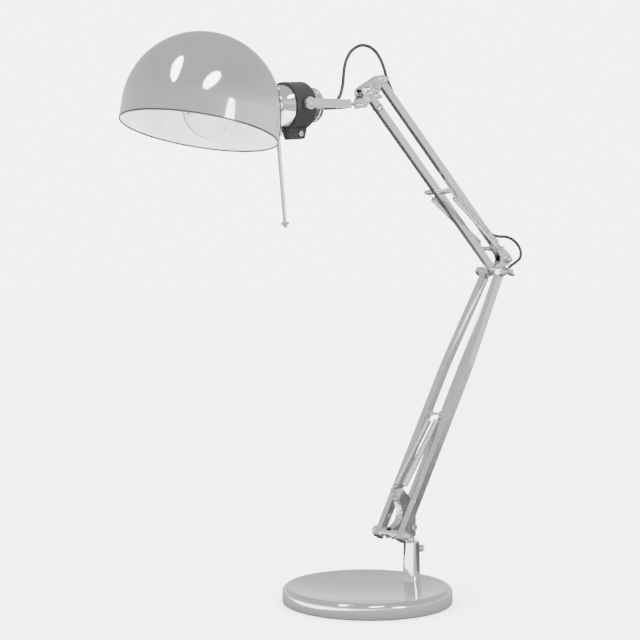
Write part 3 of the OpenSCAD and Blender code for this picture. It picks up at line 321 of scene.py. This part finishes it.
def spun(profile, steps, place, name, slot, smooth_angle=40):
    """A round piece from an outline of (radius, height) points in millimetres, turned about its Z axis."""
    tool = bmesh.new()
    outline = [tool.verts.new((r * MM, 0, z * MM)) for r, z in profile]
    edges = [tool.edges.new(pair) for pair in zip(outline, outline[1:])]
    bmesh.ops.spin(tool, geom=outline + edges, cent=(0, 0, 0), axis=(0, 0, 1), dvec=(0, 0, 0),
                   angle=math.tau, steps=steps, use_merge=True)
    bmesh.ops.remove_doubles(tool, verts=tool.verts, dist=2e-6)
    bmesh.ops.recalc_face_normals(tool, faces=tool.faces)
    bmesh.ops.transform(tool, matrix=place, verts=tool.verts)
    return finished(tool, name, slot, smooth_angle)


def arc(cx, cz, radius, start, end, count):
    """Points of an arc in an outline, in millimetres; angles in degrees from the +r direction."""
    return [(cx + radius * math.cos(math.radians(start + (end - start) * i / count)),
             cz + radius * math.sin(math.radians(start + (end - start) * i / count)))
            for i in range(count + 1)]


def softened(node, width=0.3, segments=2, limit=35):
    """A merged copy of a node whose hard edges are rounded off, as folded or turned metal has them."""
    slot = SLOT_OF[node]
    tool = bmesh.new()
    tool.from_mesh(frame["nodes"][node].data)
    bmesh.ops.remove_doubles(tool, verts=tool.verts, dist=2e-6)
    bmesh.ops.dissolve_limit(tool, angle_limit=math.radians(0.6), verts=tool.verts, edges=tool.edges)
    piece = finished(tool, node + "_soft", slot, limit)
    edge = piece.modifiers.new("worn_edges", "BEVEL")
    edge.width = width * MM
    edge.segments = segments
    edge.limit_method = "ANGLE"
    edge.angle_limit = math.radians(limit)
    edge.use_clamp_overlap = True
    edge.harden_normals = True
    return settle(piece, node)


def cut(piece, cutter):
    """Takes the cutter's shape out of a piece, for good."""
    hole = piece.modifiers.new("hole", "BOOLEAN")
    hole.operation = "DIFFERENCE"
    hole.solver = "EXACT"
    hole.object = cutter
    result = bpy.data.meshes.new_from_object(piece.evaluated_get(bpy.context.evaluated_depsgraph_get()))
    piece.modifiers.clear()
    old = piece.data
    piece.data = result
    bpy.data.meshes.remove(old)
    bpy.data.objects.remove(cutter)
    return piece


def wire(points, diameter, name, slot, sides=8, cyclic=False):
    """A round wire or tube along points, as a closed mesh."""
    curve = bpy.data.curves.new(name, "CURVE")
    curve.dimensions = "3D"
    spline = curve.splines.new("POLY")
    spline.points.add(len(points) - 1)
    for vertex, point in zip(spline.points, points):
        vertex.co = (*point, 1)
    spline.use_cyclic_u = cyclic
    curve.bevel_depth = diameter * MM / 2
    curve.bevel_resolution = (sides - 4) // 2
    curve.use_fill_caps = True
    holder = bpy.data.objects.new(name + "_line", curve)
    bpy.context.scene.collection.objects.link(holder)
    mesh = bpy.data.meshes.new_from_object(holder.evaluated_get(bpy.context.evaluated_depsgraph_get()))
    bpy.data.objects.remove(holder)
    tool = bmesh.new()
    tool.from_mesh(mesh)
    bpy.data.meshes.remove(mesh)
    bmesh.ops.remove_doubles(tool, verts=tool.verts, dist=1e-6)
    bmesh.ops.recalc_face_normals(tool, faces=tool.faces)
    return finished(tool, name, slot, 60)


def smooth_line(points, pieces):
    """A smooth line through given points, with a number of steps between each two."""
    ends = [points[0] * 2 - points[1], *points, points[-1] * 2 - points[-2]]
    line = []
    for a, b, c, d in zip(ends, ends[1:], ends[2:], ends[3:]):
        for step in range(pieces):
            t = step / pieces
            line.append(0.5 * (2 * b + (c - a) * t + (2 * a - 5 * b + 4 * c - d) * t * t
                               + (3 * b - a - 3 * c + d) * t ** 3))
    line.append(points[-1])
    return line


def turn_frame(origin, axis, up=Vector((0, 1, 0))):
    """A matrix that puts a piece made about Z onto an axis through a point."""
    z = axis.normalized()
    x = up.cross(z).normalized()
    y = z.cross(x)
    rotation = Matrix((x, y, z)).transposed().to_4x4()
    return Matrix.Translation(origin) @ rotation


# ---------------------------------------------------------------- leads

def in_upper(p, q):
    return ELBOW_REAR + UPPER_UP * q * MM + UPPER_BACK * p * MM


def in_lower(p, q):
    return LOW_REAR + LOWER_UP * q * MM + LOWER_BACK * p * MM


LEAD_D = 3.0
UPPER_LEN = (HEAD - ELBOW).length / MM
LOWER_LEN = (ELBOW - LOW_PIVOT).length / MM
HEAD_ROUTE = [head_point(x, 0, z) for x, z in ((20, 0), (28, 0), (35, 0.2), (41.5, 1))]
HEAD_ROUTE += [HEAD_REAR + Vector((x, 0, z)) * MM for x, z in
               ((-51.8, -22.8), (-47, -17.8), (-44.2, -10.5), (-42.9, -3), (-41.9, 5.5),
                (-39.4, 14), (-33, 22.8), (-22.4, 28.4), (-10.8, 27.8), (-1.6, 21.6),
                (4.4, 12.4), (8, 3.6))]
HEAD_ROUTE += [in_upper(p, q) for p, q in
               ((5.6, UPPER_LEN - 12), (3.2, UPPER_LEN - 20), (2.1, UPPER_LEN - 29),
                (1.9, UPPER_LEN - 40), (1.9, UPPER_LEN - 70), (1.9, UPPER_LEN - 100),
                (1.9, 95), (1.9, 66))]
ELBOW_ROUTE = [in_upper(p, q) for p, q in ((1.9, 65.6), (1.9, 56), (2, 46))]
ELBOW_ROUTE += [ELBOW_REAR + Vector((x, 0, z)) * MM for x, z in
                ((-24.6, 27.2), (-17.2, 23.2), (-8, 21.6), (1.2, 21.6), (10.2, 19.6), (18.2, 15),
                 (23, 8.4), (22.6, 2), (17, -2.2), (9.2, -6.2))]
ELBOW_ROUTE += [in_lower(p, q) for p, q in
                ((7.6, LOWER_LEN - 9.5), (4.2, LOWER_LEN - 18), (2.3, LOWER_LEN - 27),
                 (1.9, LOWER_LEN - 38), (1.9, LOWER_LEN - 80), (1.9, LOWER_LEN / 2),
                 (1.9, 80), (1.9, 30))]


def make_lead(route, name, node, cuts):
    """A lead that crosses several joints, as a chain of stretches. A stretch within one body rides on it; one that
    spans two bodies is left in place, riding on neither.

    Each cut is (first route point, last route point, body before, body after)."""
    for number, (first, last, before, after) in enumerate(cuts):
        points = smooth_line(route, 6)[first * 6:last * 6 + 1]
        piece = wire(points, LEAD_D, f"{name}_{number}", "lead", 12)
        if before == after:
            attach(piece, before)
        else:
            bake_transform(piece)
    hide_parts(node)


make_camera()
make_lead(HEAD_ROUTE, "head_lead", "head_lead", [
    (0, 1, "head", "head"), (1, 4, "head", "fork"), (4, 7, "fork", "rod_holder"),
    (7, 11, "rod_holder", "head_joint"), (11, 17, "head_joint", "rear_bar"),
    (17, 23, "rear_bar", "rear_bar")])
make_lead(ELBOW_ROUTE, "elbow_lead", "elbow_lead", [
    (0, 2, "rear_bar", "rear_bar"), (2, 7, "rear_bar", "elbow"), (7, 14, "elbow", "rear_link"),
    (14, 20, "rear_link", "rear_link")])


# ---------------------------------------------------------------- base

def make_base():
    """Pressed cover with a straight side, a rounded shoulder and a dished top with a soft rim."""
    low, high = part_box("base_cover")
    radius, foot, top = high.x / MM, low.z / MM, high.z / MM
    shoulder, wall, dish = 5.0, 1.2, 5.0
    rim = radius - shoulder
    bowl_r = (rim ** 2 + dish ** 2) / (2 * dish)
    bowl_edge = math.degrees(math.asin((rim - 1.2) / bowl_r))
    bowl_z = top - dish + bowl_r
    outline = [(radius - wall, foot + 0.2), (radius - wall + 0.3, foot), (radius - 0.3, foot),
               (radius, foot + 0.3)]
    outline += arc(rim, top - shoulder, shoulder, 0, 78, 14)
    outline += [(rim - 0.4, top - 0.12)]
    outline += arc(0, bowl_z, bowl_r, -90 + bowl_edge, -90, 30)
    outline = [(max(r, 0.0), z) for r, z in outline]
    cover = spun(outline, 160, Matrix.Identity(4), "base_shell", "chrome", 60)
    return settle(cover, "base_cover")


def make_post():
    """Turned post, slightly tapered, with a small foot groove and a chamfered mouth."""
    low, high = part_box("post")
    centre = (low + high) / 2
    foot, top = low.z / MM, high.z / MM
    foot_r, top_r, bore = (high.x - low.x) / 2 / MM, 7.2, 2.95
    outline = [(bore, foot), (foot_r, foot)]
    outline += [(foot_r - 0.12, foot + 5), (foot_r - 0.15, foot + 5.2)]
    outline += [(top_r, top - 1.0)] + arc(top_r - 0.8, top - 0.8, 0.8, 15, 80, 5)
    outline += [(bore + 0.6, top), (bore, top - 0.6), (bore, foot)]
    place = Matrix.Translation((centre.x, 0, 0))
    return settle(spun(outline, 96, place, "post_turning", "chrome", 50), "post")


# ---------------------------------------------------------------- shade and lamp holder

HOLDER = turn_frame(YOKE, ROD_AXIS)
DOME_REACH = 93.5
DOME_DROP = 3.3
DOME_R = 63.8
DOME_WALL = 0.9
SKIRT = 15.8
LIP = 1.4
CANT = math.radians(16.5)
DOME_MIDDLE = head_point(-DOME_REACH, 0, -DOME_DROP)
DOME_AXIS = (HEAD_UP * math.cos(CANT) + ROD_AXIS * math.sin(CANT)).normalized()


def make_shade():
    """A spun dome with a straight skirt, a turned-in lip and a thin wall."""
    inner = DOME_R - DOME_WALL
    outline = arc(0, 0, DOME_R, 90, 0, 48)
    outline += [(DOME_R, -SKIRT * 0.35), (DOME_R, -SKIRT * 0.7)]
    outline += [(DOME_R, -SKIRT + LIP), (DOME_R, -SKIRT + 0.5)]
    outline += arc((DOME_R + inner) / 2, -SKIRT + 0.45, DOME_WALL / 2, 0, -180, 8)
    outline += [(inner, -SKIRT + LIP), (inner, -SKIRT * 0.7), (inner, -SKIRT * 0.35)]
    outline += arc(0, 0, inner, 0, 90, 48)
    outline = [(max(r, 0.0), z) for r, z in outline]
    place = turn_frame(DOME_MIDDLE, DOME_AXIS)
    shade = spun(outline, 144, place, "shade_dome", "chrome", 60)
    cutter = bmesh.new()
    bmesh.ops.create_cone(cutter, cap_ends=True, segments=64, radius1=13.6 * MM, radius2=13.6 * MM,
                          depth=40 * MM, matrix=turn_frame(head_point(-DOME_REACH + DOME_R, 0, 0), ROD_AXIS))
    cut(shade, finished(cutter, "neck_cutter", "chrome"))
    shade.data.materials.append(FINISH["shade_inside"])
    shade.data.materials.append(FINISH["shade_lip"])
    for face in shade.data.polygons:
        away = face.center - DOME_MIDDLE
        # Faces of the lip take the dark finish, a painted dark reflection.
        if away.dot(DOME_AXIS) < (-SKIRT + LIP) * MM:
            face.material_index = 2
            continue
        # Faces that look inward take the inner finish, with its painted brightness.
        radial = away - DOME_AXIS * away.dot(DOME_AXIS) if away.dot(DOME_AXIS) < 0 else away
        if face.normal.dot(radial) < 0:
            face.material_index = 1
    return settle(shade, "shade")


def make_holder():
    """The bright sleeve, cut to sit on the dome, with a rolled seam at its rear."""
    sleeve_r, wall, end = 17.3, 1.0, 11.6
    start = -DOME_REACH + 50
    outline = [(sleeve_r - wall, start), (sleeve_r, start), (sleeve_r, end - 1.4)]
    outline += arc(sleeve_r - 0.5, end - 0.5, 0.5, 0, 90, 4)
    outline += [(sleeve_r - wall, end), (sleeve_r - wall, start)]
    sleeve = spun(outline, 128, HOLDER, "holder_sleeve_tube", "chrome", 50)
    ball = bmesh.new()
    bmesh.ops.create_icosphere(ball, subdivisions=6, radius=(DOME_R + 0.05) * MM,
                               matrix=Matrix.Translation(DOME_MIDDLE))
    cut(sleeve, finished(ball, "dome_cutter", "chrome"))
    settle(sleeve, "holder_sleeve")


def make_cap():
    """The rear cap: a ridge, a waist, a rounded back and a small gland for the lead."""
    body, end, back, edge = 14.8, 11.6, 24.9, 3.6
    outline = [(body - 2, end + 0.1), (body + 0.5, end + 0.1), (body + 0.8, end + 0.4)]
    outline += [(body + 0.8, end + 1.8), (body + 0.4, end + 2.2), (body, end + 2.5)]
    outline += [(body, end + 7.0), (body - 0.25, end + 7.2), (body - 0.25, end + 7.6), (body, end + 7.8)]
    outline += arc(body - edge, back - edge, edge, 0, 90, 10)
    outline += [(4.4, back), (4.0, back + 0.25), (3.6, back + 0.9), (3.2, back + 2.2)]
    outline += [(2.6, back + 2.5), (1.65, back + 2.5), (1.65, back - 4)]
    cap = spun(outline, 112, HOLDER, "holder_cap_turning", "chrome", 45)
    return settle(cap, "holder_cap")


def make_bulb():
    """A thin clear globe with a neck, and the filament's stem, filament and two stays inside."""
    middle, radius, glass = -81.9, 25.0, 0.7
    outside = arc(0, 0, radius, -90, 52, 40)
    outside += [(12.6, 22.6), (10.4, 26.4), (8.6, 30.4), (7.4, 34), (6.7, 37.4)]
    inside = [(max(r - glass, 0.0), z - glass * 0.2) for r, z in reversed(outside)]
    outline = [(max(r, 0.0), z) for r, z in outside + inside]
    place = turn_frame(head_point(middle, 0, 0), ROD_AXIS)
    settle(spun(outline, 96, place, "bulb_globe_glass", "glass", 60), "bulb_globe")
    stem = [(0, 36), (3.2, 36), (2.6, 27), (1.6, 16), (1.9, 12), (0, 11.4)]
    settle(spun(stem, 32, place, "bulb_stem", "glass", 60), body="bulb")
    loop = []
    for step in range(33):
        turn = math.pi * step / 32
        spot = Vector((7.5 * math.cos(turn), 7.5 * math.sin(turn) * 0.4, 2 + 2.4 * math.sin(turn)))
        loop.append(place @ (spot * MM))
    settle(wire(loop, 0.25, "bulb_filament", "spring", 6), body="bulb")
    for side in (-1, 1):
        stay = [place @ (Vector((side * 7.5, 0, 2)) * MM), place @ (Vector((side * 1.2, 0, 14)) * MM)]
        settle(wire(stay, 0.35, f"bulb_stay_{side + 1}", "spring", 6), body="bulb")


# ---------------------------------------------------------------- springs

def coil(start, end, outside_d, wire_d, closed, name, node):
    """A closely wound spring with a straight tail at each end."""
    along = end - start
    length = along.length
    place = turn_frame(start, along)
    radius = (outside_d - wire_d) / 2 * MM
    tail_a, tail_b = closed[0] * MM, closed[1] * MM
    turns = int((length - tail_a - tail_b) / (wire_d * 1.12 * MM))
    body_start, body_end = tail_a, length - tail_b
    points = [Vector((0, 0, 0.6 * MM)), Vector((0, 0, tail_a * 0.55))]
    lead_in = 8
    steps = 14
    for step in range(turns * steps + 1):
        t = step / (turns * steps)
        grow = min(1.0, (step + 1) / lead_in, (turns * steps - step + 1) / lead_in)
        angle = math.tau * step / steps
        points.append(Vector((radius * grow * math.cos(angle), radius * grow * math.sin(angle),
                              body_start + (body_end - body_start) * t)))
    points += [Vector((0, 0, length - tail_b * 0.55)), Vector((0, 0, length - 0.6 * MM))]
    piece = wire([place @ p for p in points], wire_d, name, "spring", 6)
    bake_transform(piece)
    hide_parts(node)


def loop_ring(centre, radius, wire_d, name, body):
    """A wire eye about an axis along Y."""
    points = [centre + Vector((math.cos(a), 0, math.sin(a))) * radius * MM
              for a in (math.tau * step / 28 for step in range(28))]
    piece = wire(points, wire_d, name, "spring", 8, cyclic=True)
    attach(piece, body)


def make_springs():
    lower_hook = LOW_PIVOT + Vector((7.4, 0, 37.2)) * MM
    lower_pin = LOW_PIVOT + LOWER_UP * 118 * MM - LOWER_BACK * 2.1 * MM
    upper_hook = ELBOW + Vector((-1.2, 0, 21.6)) * MM
    upper_pin = ELBOW + UPPER_UP * 103.5 * MM + UPPER_BACK * 1.0 * MM
    for side, where in ((1, "far"), (-1, "near")):
        low = Vector((0, side * 5.1, 0)) * MM
        toward = (lower_pin - lower_hook).normalized()
        coil(lower_hook + low, lower_pin + low - toward * 1.9 * MM, 6.0, 0.9, (6, 5), f"lower_coil_{where}",
             f"lower_spring_{where}")
        loop_ring(lower_pin + low, 1.9, 0.9, f"lower_eye_{where}", "lower_arm")
        hook = [lower_hook + low + toward * 0.9 * MM, lower_hook + low,
                lower_hook + Vector((0, side * 2.4, 0)) * MM]
        piece = wire(hook, 0.9, f"lower_hook_{where}", "spring", 8)
        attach(piece, "swivel")
        at_stud = Vector((0, side * 10.7, 0)) * MM
        at_pin = Vector((0, side * 14.2, 0)) * MM
        toward = (upper_pin + at_pin - upper_hook - at_stud).normalized()
        coil(upper_hook + at_stud + toward * 1.8 * MM, upper_pin + at_pin - toward * 1.9 * MM, 6.5, 0.9,
             (6.5, 7), f"upper_coil_{where}", f"upper_spring_{where}")
        loop_ring(upper_pin + at_pin, 1.9, 0.9, f"upper_eye_{where}", "front_bar")
        loop_ring(upper_hook + at_stud, 1.8, 0.9, f"upper_stud_eye_{where}", "elbow")


# ---------------------------------------------------------------- light and stage

# Strength of the open room on plain surfaces, and of the room that polished metal mirrors.
ROOM = 6.0
MIRRORED = 1.35
BOX_REACH = 1.4
ELLIPSE_FILL = math.pi / 4


def plain_sheet(name, colour, low, high, height, only_mirrored=False):
    """A flat sheet for the stage. Cards that only polished metal sees are kept out of everything else."""
    tool = bmesh.new()
    tool.faces.new([tool.verts.new((x, y, height)) for x, y in
                    (low, (high[0], low[1]), high, (low[0], high[1]))])
    mesh = bpy.data.meshes.new(name)
    tool.to_mesh(mesh)
    tool.free()
    sheet = bpy.data.objects.new(name, mesh)
    bpy.context.scene.collection.objects.link(sheet)
    material, _, _, shader = new_material(name)
    shader.inputs["Base Color"].default_value = (colour, colour, colour, 1)
    shader.inputs["Roughness"].default_value = 0.9
    shader.inputs["Specular IOR Level"].default_value = 0.1
    mesh.materials.append(material)
    if only_mirrored:
        sheet.visible_camera = False
        sheet.visible_diffuse = False
        sheet.visible_shadow = False
        sheet.visible_transmission = False


def make_stage():
    plain_sheet("pale_floor", 0.95, (-40, -40), (40, 40), 0)
    plain_sheet("grey_ground", 0.13, (-40, -40), (40, 40), 0.0004, True)
    plain_sheet("bright_ground", 0.75, (-0.9, -0.6), (-0.09, 0.24), 0.0006, True)
    plain_sheet("dark_right", 0.03, (0.2, -0.9), (1.1, 0.9), 0.0008, True)
    plain_sheet("dark_behind", 0.02, (-0.35, 0.24), (0.2, 0.9), 0.0008, True)


def softbox(name, ends, sides, radiance):
    """An oval softbox that the shade sees between two end directions, as wide as two side directions."""
    near, far = (Vector(end).normalized() for end in ends)
    left, right = (Vector(side).normalized() for side in sides)
    toward = (near + far).normalized()
    along = (far - near) - toward * (far - near).dot(toward)
    data = bpy.data.lights.new(name, "AREA")
    data.shape = "ELLIPSE"
    data.size = 2 * BOX_REACH * math.tan(left.angle(right) / 2)
    data.size_y = 2 * BOX_REACH * math.tan(near.angle(far) / 2)
    data.energy = radiance * math.pi * data.size * data.size_y * ELLIPSE_FILL
    light = bpy.data.objects.new(name, data)
    bpy.context.scene.collection.objects.link(light)
    y = along.normalized()
    z = toward
    rotation = Matrix((y.cross(z), y, z)).transposed().to_4x4()
    light.matrix_world = Matrix.Translation(DOME_MIDDLE + toward * BOX_REACH) @ rotation
    light.visible_camera = False


def make_light():
    world = bpy.data.worlds.new("studio")
    bpy.context.scene.world = world
    world.use_nodes = True
    nodes, links = world.node_tree.nodes, world.node_tree.links
    open_room = nodes["Background"]
    open_room.inputs["Color"].default_value = (1, 1, 1, 1)
    open_room.inputs["Strength"].default_value = ROOM
    mirrored = nodes.new("ShaderNodeBackground")
    place = nodes.new("ShaderNodeTexCoord")
    split = nodes.new("ShaderNodeSeparateXYZ")
    links.new(place.outputs["Generated"], split.inputs["Vector"])
    ramp = nodes.new("ShaderNodeValToRGB")
    ramp.color_ramp.elements[0].color = (0.95, 0.95, 0.95, 1)
    ramp.color_ramp.elements[1].color = (0.5, 0.51, 0.52, 1)
    for position, grey in ((0.12, 0.86), (0.3, 0.6), (0.6, 0.5)):
        stop = ramp.color_ramp.elements.new(position)
        stop.color = (grey, grey * 1.005, grey * 1.01, 1)
    links.new(split.outputs["Z"], ramp.inputs["Fac"])
    links.new(ramp.outputs["Color"], mirrored.inputs["Color"])
    mirrored.inputs["Strength"].default_value = MIRRORED
    path = nodes.new("ShaderNodeLightPath")
    choose = nodes.new("ShaderNodeMixShader")
    links.new(path.outputs["Is Glossy Ray"], choose.inputs["Fac"])
    links.new(open_room.outputs[0], choose.inputs[1])
    links.new(mirrored.outputs[0], choose.inputs[2])
    links.new(choose.outputs[0], nodes["World Output"].inputs["Surface"])
    softbox("high_box", ((-0.336, 0.106, 0.936), (-0.81, -0.153, 0.566)),
            ((-0.623, 0.043, 0.781), (-0.571, -0.152, 0.807)), 9)
    softbox("slanted_box", ((-0.019, -0.654, 0.756), (-0.476, -0.761, 0.44)),
            ((-0.29, -0.66, 0.69), (-0.205, -0.815, 0.54)), 9)
    softbox("low_box", ((0.068, -0.968, 0.242), (0.178, -0.957, -0.2)),
            ((-0.07, -0.995, 0.026), (0.24, -0.965, 0.05)), 6)


make_base()
make_post()
make_shade()
make_holder()
make_cap()
make_bulb()
make_springs()

SOFT_EDGES = {
    "rail_far": 0.2, "rail_near": 0.2, "rear_link": 0.2, "upper_front_bar": 0.2,
    "upper_rear_bar": 0.2, "base_bracket": 0.25, "elbow_bracket": 0.25, "head_bracket": 0.25,
    "rod_strap": 0.25, "yoke": 0.3, "clamp_ring": 0.5, "elbow_wing_nut": 0.45,
    "head_wing_nut": 0.45, "post_screw": 0.3, "swivel_pin": 0.2, "bracket_rivets": 0.3,
    "lower_pivot_bolt": 0.3, "lower_pivot_nut": 0.25, "lower_spacers": 0.2,
    "rail_plugs": 0.4, "lower_cross_pin": 0.3, "elbow_bolt": 0.35, "elbow_spacers": 0.1,
    "elbow_rear_pin": 0.3, "elbow_rear_nut": 0.2, "elbow_studs": 0.3, "front_bar_plug": 0.3,
    "front_bar_screw": 0.2, "upper_cross_pin": 0.3, "head_bolt": 0.35, "head_washers": 0.1,
    "head_rear_pin": 0.3, "head_rear_nut": 0.2, "head_rod": 0.2, "rod_nut": 0.25,
    "yoke_screws": 0.25, "yoke_washers": 0.2, "clamp_screw": 0.25, "shade_ring": 0.25,
    "socket_body": 0.3, "handle_rod": 0.3, "handle_tip": 0.3, "base_pad": 0.2,
    "base_weight": 0.4, "post_bolt": 0.3, "link_washers_low": 0.1, "socket_contacts": 0.1,
    "bulb_cap": 0.3,
}
for soft_node, edge_width in SOFT_EDGES.items():
    softened(soft_node, edge_width)

make_stage()
make_light()
